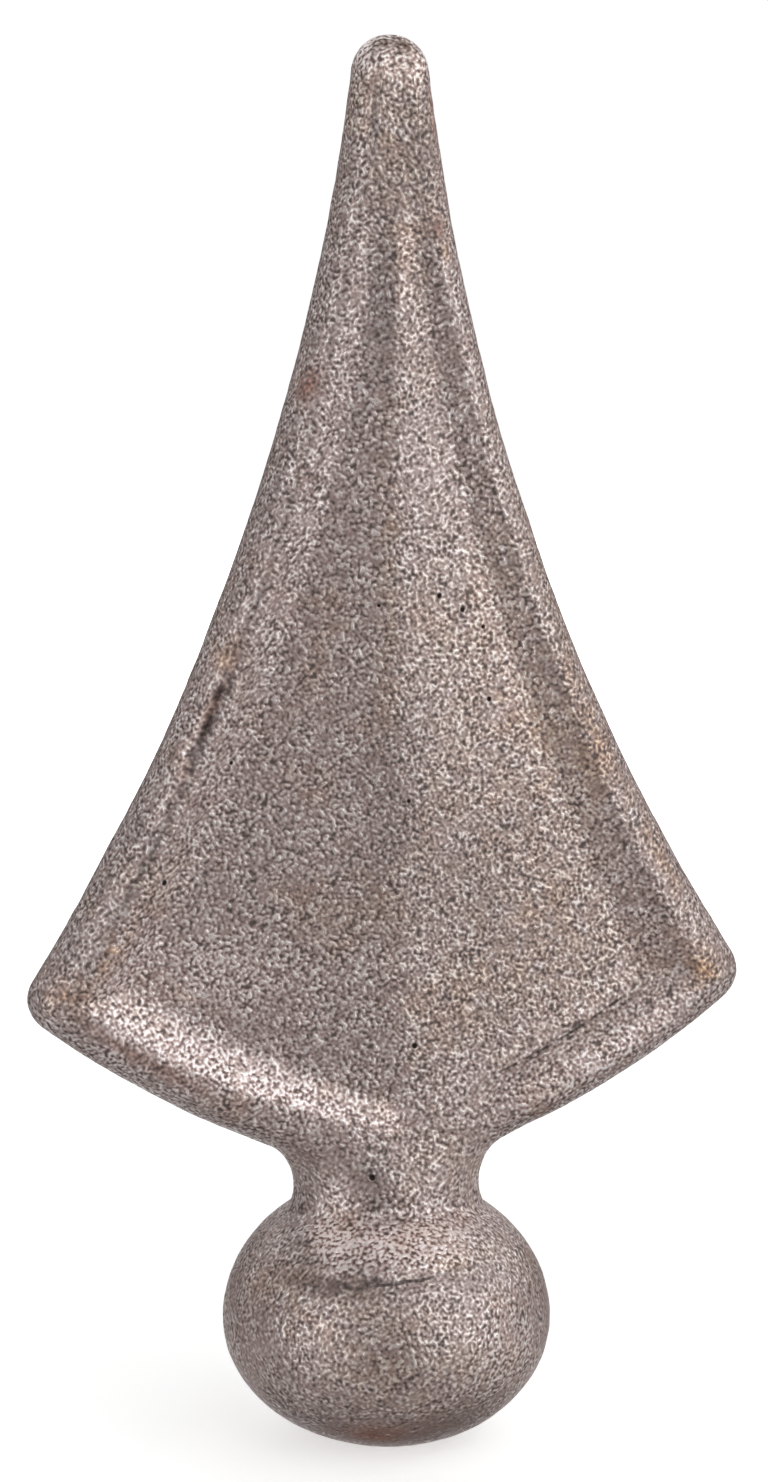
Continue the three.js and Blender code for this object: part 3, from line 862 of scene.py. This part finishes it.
class Shader:
    """A material's node tree."""

    def __init__(self, name):
        self.material = bpy.data.materials.new(name)
        self.material.use_nodes = True
        self.tree = self.material.node_tree
        self.tree.nodes.clear()

    def node(self, kind, settings, sockets, output=0):
        """A node of some kind: its settings first, then its sockets' values or links."""
        made = self.tree.nodes.new(kind)
        for name, value in settings.items():
            setattr(made, name, value)
        for name, value in sockets.items():
            if isinstance(value, Wire):
                self.tree.links.new(value.socket, made.inputs[name])
            else:
                made.inputs[name].default_value = value
        return Wire(self, made.outputs[output]) if made.outputs else None

    def place(self):
        """Object coordinates."""
        return self.node("ShaderNodeTexCoord", {}, {}, "Object")

    def axis(self, name):
        """One of the object coordinates, X, Y or Z."""
        return self.node("ShaderNodeSeparateXYZ", {}, {"Vector": self.place()}, name)

    def distance(self, flat, centre):
        """Distance to a centre, along the axes for which flat is 1."""
        kind = "ShaderNodeVectorMath"
        kept = self.node(kind, {"operation": "MULTIPLY"}, {0: self.place(), 1: flat})
        return self.node(kind, {"operation": "DISTANCE"}, {0: kept, 1: centre}, "Value")

    def line(self, off, half_width):
        """1 on a line and 0 past its half width, from the distance off it."""
        ratio = off * (1 / half_width)
        return self.ramp(ratio * ratio, 1, LINE_CORE)

    def turned_place(self):
        """Object coordinates turned aslant, so that a pattern's own axes don't show on the facets."""
        sockets = {"Vector": self.place(), "Rotation": PATTERN_TURN}
        return self.node("ShaderNodeMapping", {}, sockets)

    def noise(self, cell, detail=2.0, roughness=0.5):
        """Noise with cells of a size, on turned object coordinates."""
        sockets = {"Vector": self.turned_place(), "Scale": 1 / cell}
        sockets |= {"Detail": detail, "Roughness": roughness}
        return self.node("ShaderNodeTexNoise", {}, sockets, "Fac")

    def cells(self, cell):
        """Distance to the nearest of scattered grains, on object coordinates."""
        sockets = {"Vector": self.place(), "Scale": 1 / cell}
        return self.node("ShaderNodeTexVoronoi", {}, sockets, "Distance")

    def attribute(self, name):
        """An attribute of the mesh."""
        return self.node("ShaderNodeAttribute", {"attribute_name": name}, {}, "Fac")

    def ramp(self, value, low, high):
        """0 below low, 1 above high and an even S between them."""
        sockets = {"Value": value, "From Min": low, "From Max": high}
        return self.node("ShaderNodeMapRange", {"interpolation_type": "SMOOTHSTEP"}, sockets)

    def mix(self, factor, a, b, blend="MIX"):
        """Colour from a to b, or from a to a times b, each a Wire or a colour."""
        sockets = {0: factor}
        for place, value in zip(MIX_COLOURS, (a, b)):
            sockets[place] = value if isinstance(value, Wire) else (*value, 1)
        settings = {"data_type": "RGBA", "blend_type": blend}
        return self.node("ShaderNodeMix", settings, sockets, MIX_RESULT)


PIT_CORE = 0.5
LINE_BREAKS = (0.36, 0.54)
FRONT_SIDE = (0, -1 * MM)
NOISE_MIDDLE = 0.5


def pit_dots(shader, shape):
    """Darkness of the pits: 1 near the centre of each, which lies on the casting's surface."""
    dots = 0
    for face, x, z, radius in PITS:
        centre = (x * MM, face * float(shape.half_depth(abs(x) * MM, z * MM)), z * MM)
        off = shader.distance((1, 1, 1), centre)
        dot = shader.ramp(off, radius * MM, PIT_CORE * radius * MM)
        dots = dot + dots
    return dots


def broken_line(shader, off, half_width, gap):
    """Darkness of a thin line that noise breaks up, from the distance off it."""
    return shader.line(off, half_width) * shader.ramp(shader.noise(gap), *LINE_BREAKS)


def on_front(shader):
    """1 on the front and 0 on the back."""
    return shader.ramp(shader.axis("Y"), *FRONT_SIDE)


# Darkness of the painted shadow in the fold, where it is crisp and where it is faint
FOLD_CRISP = 0.75
FOLD_FAINT = 0.45
FOLD_WAVES = 1.8 * MM
FOLD_GAPS = 1.1 * MM


def fold_shadow(shader, relief):
    """Painted shadow in the fold under the lip on the ball: a line at z = height + rise * x that
    wavers.

    It is strong in the middle, and faint and broken up on the right.
    """
    x = shader.axis("X")
    waver = 2 * relief.fold_waver * (shader.noise(FOLD_WAVES) - NOISE_MIDDLE)
    off = shader.axis("Z") - relief.fold_height - relief.fold_rise * x + waver
    crisp = FOLD_CRISP * shader.ramp(x, *FOLD_SHARPENS) * shader.ramp(x, *FOLD_CRISP_END)
    faint = FOLD_FAINT * shader.ramp(x, *FOLD_FAINT_START) * shader.ramp(x, *FOLD_FAINT_END)
    whole = shader.line(off, relief.fold_line) * crisp
    broken = broken_line(shader, off, relief.fold_line, FOLD_GAPS) * faint
    return (whole + broken) * on_front(shader)


# Darkness of the painted shade in the crease
CREASE_DARK = 0.8
CREASE_GAPS = 1.6 * MM
CREASE_START = (9 * MM, 13 * MM)
CREASE_END = (29 * MM, 26 * MM)
CREASE_TOP = (52 * MM, 50 * MM)


def crease_shade(shader, relief, shape):
    """Painted shade in the crease along the right lower rim, at a distance in from the lower edge."""
    centre = (shape.lower[0], 0, shape.lower[1])
    inset = shape.form.lower_edge_radius - shader.distance((1, 0, 1), centre)
    x = shader.axis("X")
    along = shader.ramp(x, *CREASE_START) * shader.ramp(x, *CREASE_END)
    lower = shader.ramp(shader.axis("Z"), *CREASE_TOP)
    line = broken_line(shader, inset - relief.crease_inset, relief.crease_line, CREASE_GAPS)
    return CREASE_DARK * line * along * lower * on_front(shader)


SPECK_DARK = 0.5
SPECK_GAPS = 1.2 * MM
SPECK_START = (56 * MM, 62 * MM)
SPECK_END = (88 * MM, 82 * MM)
SPECK_SIDE = (0, -4 * MM)


def rim_specks(shader, relief, shape):
    """Darkness of the specks along the left rim, at a distance in from the long edge."""
    centre = (-shape.long[0], 0, shape.long[1])
    inset = shader.distance((1, 0, 1), centre) - shape.form.long_edge_radius
    z = shader.axis("Z")
    along = shader.ramp(z, *SPECK_START) * shader.ramp(z, *SPECK_END)
    left = shader.ramp(shader.axis("X"), *SPECK_SIDE)
    line = broken_line(shader, inset - relief.speck_inset, relief.speck_line, SPECK_GAPS)
    return SPECK_DARK * line * along * left * on_front(shader)


# Spacing and detail of the iron's patterns, with the packed grain counted in fine grains
PACKED_GRAIN = 1.5
PATCH_SIZE = 2.5 * MM
CLOUD_SIZE = 9 * MM
MOTTLE_SIZE = 2 * MM
BLUSH_SIZE = 4.5 * MM
SPECKLE_DETAIL = 0.3
CLOUD_DETAIL = 3
CLOUD_ROUGHNESS = 0.6

# Levels of a pattern at which a mark sets in and is full
PATCH_LEVELS = (0.36, 0.62)
TOP_LEVELS = (0.48, 0.78)
HOLLOW_LEVELS = (0.50, 0.22)
CLOUD_LEVELS = (0.48, 0.70)
BLOOM_LEVELS = (0.25, 0.65)
OCHRE_LEVELS = (0.34, 0.56)
RUST_LEVELS = (0.22, 0.48)

# How strongly one mark of the iron bears on another
WEAK_GRAIN = 0.86
PATCH_GAIN = 0.36
GRAIN_RISE = 0.4
PIT_SINK = 0.8
PAINTED_LIGHT_ON_TOPS = 0.09
CLOUD_BLOOM = 0.5
BLUSH_RUST = 0.12
TOP_GLOSS = 0.2
HOLLOW_DULLING = 0.1
RUST_DULLING = 0.25
GRIME_DULLING = 0.2
HOLLOW_METAL = 0.2
RUST_COVER = 0.3
OCHRE_COVER = 0.2


def iron_material(finish, relief, shape):
    """Old cast iron: dark between bright grain tops, with tone and painted highlights and shade, bloom,
    ochre, rust and grime on it.

    The fine grain is packed grains and noise with the pits sunk in it, and raises the normal. Its
    tops are brighter and smoother, and brighter still under painted highlights. The stains follow the
    mesh's attributes, broken up by noise; the bloom carries a painted warm cast, and the rust and grime
    painted shade under the lip. The thin dark lines are worked out from object coordinates, and those
    in the fold and the crease are painted shade.
    """
    shader = Shader("old_cast_iron")
    grains = 1 - shader.cells(finish.fine_grain * PACKED_GRAIN)
    patches = shader.ramp(shader.noise(PATCH_SIZE), *PATCH_LEVELS)
    strength = WEAK_GRAIN + PATCH_GAIN * patches - shader.attribute("dull")
    grit = shader.noise(finish.fine_grain, SPECKLE_DETAIL) - NOISE_MIDDLE
    speckle = NOISE_MIDDLE + strength * grit
    tone_and_painted_light = shader.attribute("tone_and_painted_light")
    pits = pit_dots(shader, shape)
    fine = GRAIN_RISE * grains + speckle - PIT_SINK * pits
    # Painted highlights also lift the grain tops
    tops = shader.ramp(speckle + PAINTED_LIGHT_ON_TOPS * tone_and_painted_light, *TOP_LEVELS)
    hollows = shader.ramp(speckle, *HOLLOW_LEVELS)
    clouds = shader.ramp(shader.noise(CLOUD_SIZE, CLOUD_DETAIL, CLOUD_ROUGHNESS), *CLOUD_LEVELS)
    blush = shader.ramp(shader.noise(BLUSH_SIZE), *CLOUD_LEVELS)
    mottle = shader.noise(MOTTLE_SIZE, CLOUD_DETAIL, CLOUD_ROUGHNESS)
    iron = shader.mix(tops, finish.iron, finish.bright)
    iron = shader.mix(hollows, iron, finish.dark)
    # Brown bloom and a painted warm cast, broken up by noise
    bloom_and_warm_light = shader.attribute("bloom_and_warm_light") + CLOUD_BLOOM * clouds
    iron = shader.mix(bloom_and_warm_light * shader.ramp(mottle, *BLOOM_LEVELS), iron, finish.bloom_and_warm_light, "MULTIPLY")
    ochre = shader.attribute("ochre") * shader.ramp(mottle, *OCHRE_LEVELS)
    iron = shader.mix(ochre, iron, finish.ochre, "MULTIPLY")
    rust = shader.attribute("rust") * shader.ramp(mottle, *RUST_LEVELS)
    iron = shader.mix(rust + BLUSH_RUST * blush, iron, finish.rust, "MULTIPLY")
    # Painted highlights and shade scale the iron's brightness
    sockets = {0: iron, "Scale": 1 + finish.tone_and_light_share * tone_and_painted_light}
    iron = shader.node("ShaderNodeVectorMath", {"operation": "SCALE"}, sockets)
    # The dark lines in the fold and the crease are painted shade; with the specks and pits they take
    # the dark colour of dirt and shade
    lines = fold_shadow(shader, relief).larger(crease_shade(shader, relief, shape))
    lines = lines.larger(rim_specks(shader, relief, shape))
    grime_and_shade = shader.attribute("grime_and_shade").larger(lines).larger(pits)
    iron = shader.mix(grime_and_shade, iron, finish.grime_and_shade)
    roughness = finish.roughness - TOP_GLOSS * tops + HOLLOW_DULLING * hollows
    roughness = roughness + RUST_DULLING * rust + GRIME_DULLING * grime_and_shade
    metallic = finish.metallic + HOLLOW_METAL * hollows - RUST_COVER * rust - OCHRE_COVER * ochre
    metallic = metallic.larger(grime_and_shade)
    sockets = {"Strength": 1.0, "Distance": finish.fine_depth, "Height": fine}
    normal = shader.node("ShaderNodeBump", {}, sockets)
    sockets = {"Base Color": iron, "Metallic": metallic, "Roughness": roughness, "Normal": normal}
    sockets["IOR"] = finish.skin_ior
    surface = shader.node("ShaderNodeBsdfPrincipled", {}, sockets)
    shader.node("ShaderNodeOutputMaterial", {}, {"Surface": surface})
    return shader.material


class FINIAL_OT_casting(bpy.types.Operator):
    """Build the casting on its frame, with its relief and its iron"""

    bl_idname = "finial.casting"
    bl_label = "Casting"

    def execute(self, context):
        scene = context.scene
        relief = scene.finial_relief
        shape = SpearShape(scene.finial_form)
        grid = CastingGrid(shape, relief.half_stations)
        plain = grid.points
        height = relief_height(plain, relief)
        on_foot = plain[..., 2:] <= TINY
        points = plain + np.where(on_foot, 0, grid.normals() * height[..., None])
        vertices = np.concatenate([points.reshape(-1, 3), grid.poles()])
        finishes = {name: stains(plain, shape, name) for name in FINISHES}
        # The painted highlight inside the panels joins the painted light and shade
        finishes["tone_and_painted_light"] += panel_highlight(plain, shape)
        attributes = {name: np.append(values.ravel(), [0, 0]) for name, values in finishes.items()}
        faces = grid.quads().tolist() + grid.caps().tolist()
        casting = mesh_object("finial_casting", vertices, faces, attributes)
        casting.data.materials.append(iron_material(scene.finial_finish, relief, shape))
        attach(casting, "root")
        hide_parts(NODE)
        return {"FINISHED"}


# Soft lights round the finial: azimuth from the camera and elevation in degrees, and power in watts
SOFT_LIGHTS = (
    (-100, -60, 0.27),
    (25, -60, 0.55),
    (-125, -30, 0.30),
    (-50, -30, 0.53),
    (75, -30, 0.35),
    (125, -30, 0.42),
    (-50, 0, 1.00),
    (50, 0, 1.12),
    (-125, 30, 0.79),
    (-50, 30, 0.68),
    (25, 30, 0.89),
    (75, 30, 1.31),
    (125, 30, 1.12),
    (25, 60, 0.37),
    (180, -25, 0.90),
    (180, 25, 1.40),
)


class FINIAL_OT_studio(bpy.types.Operator):
    """Lay the pale sweep, hang the soft boxes and set the camera"""

    bl_idname = "finial.studio"
    bl_label = "Studio"

    sweep_radius = 2.4
    bend_radius = 0.9
    wall_height = 2.2
    floor_gap = 0.05 * MM
    sweep_steps = 64
    floor_rings = (0.001, 0.1, 0.3, 0.7)
    paper_roughness = 0.9
    glow_reach = (0.03, 0.5)
    near_glow = (0.55, 0.55, 0.55)
    far_glow = (1, 1, 1)

    def execute(self, context):
        studio = context.scene.finial_studio
        self.paper_sweep(studio)
        aim = Vector((0, 0, studio.aim_height))
        for azimuth, elevation, power in SOFT_LIGHTS:
            away = direction(studio.azimuth + math.radians(azimuth), math.radians(elevation))
            self.soft_light(aim, away, studio, power)
        self.dim_room(context.scene, studio)
        self.camera(context.scene, studio, aim)
        context.scene.view_settings.view_transform = "Standard"
        return {"FINISHED"}

    def paper_sweep(self, studio):
        """Floor that bends up into a round wall: a profile of floor, arc and wall turned about Z."""
        floor_reach = self.sweep_radius - self.bend_radius
        bend = np.linspace(0, math.pi / 2, self.sweep_steps // 2)
        bend_r = floor_reach + self.bend_radius * np.sin(bend)
        bend_z = self.bend_radius * (1 - np.cos(bend))
        profile_r = np.concatenate([self.floor_rings, bend_r, [self.sweep_radius]])
        profile_z = np.concatenate([np.zeros(len(self.floor_rings)), bend_z, [self.wall_height]])
        profile_z -= self.floor_gap
        turn = np.linspace(0, 2 * math.pi, self.sweep_steps, endpoint=False)[:, None]
        points = np.stack([profile_r * np.cos(turn), profile_r * np.sin(turn), profile_z + 0 * turn], 2)
        corner = np.arange(points.shape[0] * points.shape[1]).reshape(points.shape[:2])
        following = np.roll(corner, -1, 0)
        quads = [corner[:, :-1], corner[:, 1:], following[:, 1:], following[:, :-1]]
        faces = np.stack(quads, 2).reshape(-1, 4)
        sweep = mesh_object("paper_sweep", points.reshape(-1, 3), faces.tolist(), {})
        sweep.data.materials.append(self.paper_material(studio))
        sweep.visible_diffuse = False
        sweep.visible_glossy = False
        sweep.visible_shadow = False
        return sweep

    def paper_material(self, studio):
        """Matt pale paper that glows softly, least by the finial so that its shadow shows."""
        shader = Shader("pale_paper")
        reach = shader.distance((1, 1, 1), (0, 0, 0))
        glow = shader.mix(shader.ramp(reach, *self.glow_reach), self.near_glow, self.far_glow)
        sockets = {"Base Color": (*studio.paper, 1), "Roughness": self.paper_roughness}
        sockets |= {"Emission Color": glow, "Emission Strength": 1.0}
        surface = shader.node("ShaderNodeBsdfPrincipled", {}, sockets)
        shader.node("ShaderNodeOutputMaterial", {}, {"Surface": surface})
        return shader.material

    def soft_light(self, aim, away, studio, power):
        """A round soft light that faces the aim point."""
        light = bpy.data.lights.new("soft_light", "AREA")
        light.shape = "DISK"
        light.size = studio.light_size
        light.energy = power
        lamp = bpy.data.objects.new("soft_light", light)
        lamp.visible_camera = False
        bpy.context.scene.collection.objects.link(lamp)
        lamp.location = aim + studio.light_distance * away
        lamp.rotation_euler = away.to_track_quat("Z", "Y").to_euler()

    def dim_room(self, scene, studio):
        """Even, dim light from all round."""
        room = bpy.data.worlds.new("dim_room")
        room.use_nodes = True
        room.node_tree.nodes["Background"].inputs["Color"].default_value = (*studio.room, 1)
        scene.world = room

    def camera(self, scene, studio, aim):
        """A long lens at the picture's viewing angle."""
        data = bpy.data.cameras.new("camera")
        data.lens = data.sensor_width * studio.distance / studio.field_height
        camera = bpy.data.objects.new("camera", data)
        scene.collection.objects.link(camera)
        away = direction(studio.azimuth, studio.elevation)
        turn = away.to_track_quat("Z", "Y").to_matrix() @ Matrix.Rotation(studio.roll, 3, "Z")
        place = aim + studio.distance * away - studio.aim_aside * turn.col[0]
        camera.matrix_world = Matrix.Translation(place) @ turn.to_4x4()
        scene.camera = camera


def direction(azimuth, elevation):
    """Unit vector away from the object: azimuth 0 is the front, -Y, and turns towards +X."""
    level = math.cos(elevation)
    return Vector((math.sin(azimuth) * level, -math.cos(azimuth) * level, math.sin(elevation)))


class FINIAL_PT_panel(bpy.types.Panel):
    """Sizes, finish and studio of the finial"""

    bl_label = "Finial"
    bl_space_type = "VIEW_3D"
    bl_region_type = "UI"
    bl_category = "Finial"

    def draw(self, context):
        for operator in OPERATORS:
            self.layout.operator(operator.bl_idname)
        for setting, group in SETTINGS.items():
            box = self.layout.box()
            box.label(text=group.__doc__)
            for name in group.__annotations__:
                box.prop(getattr(context.scene, setting), name)


SETTINGS = {
    "finial_form": FinialForm,
    "finial_relief": CastingRelief,
    "finial_finish": IronFinish,
    "finial_studio": StudioSet,
}
OPERATORS = (FINIAL_OT_casting, FINIAL_OT_studio)
CLASSES = (*SETTINGS.values(), *OPERATORS, FINIAL_PT_panel)


def register():
    for cls in CLASSES:
        bpy.utils.register_class(cls)
    for setting, group in SETTINGS.items():
        setattr(bpy.types.Scene, setting, PointerProperty(type=group))


def unregister():
    for setting in SETTINGS:
        delattr(bpy.types.Scene, setting)
    for cls in reversed(CLASSES):
        bpy.utils.unregister_class(cls)


def main():
    register()
    bpy.ops.finial.casting()
    bpy.ops.finial.studio()


if __name__ == "__main__":
    main()
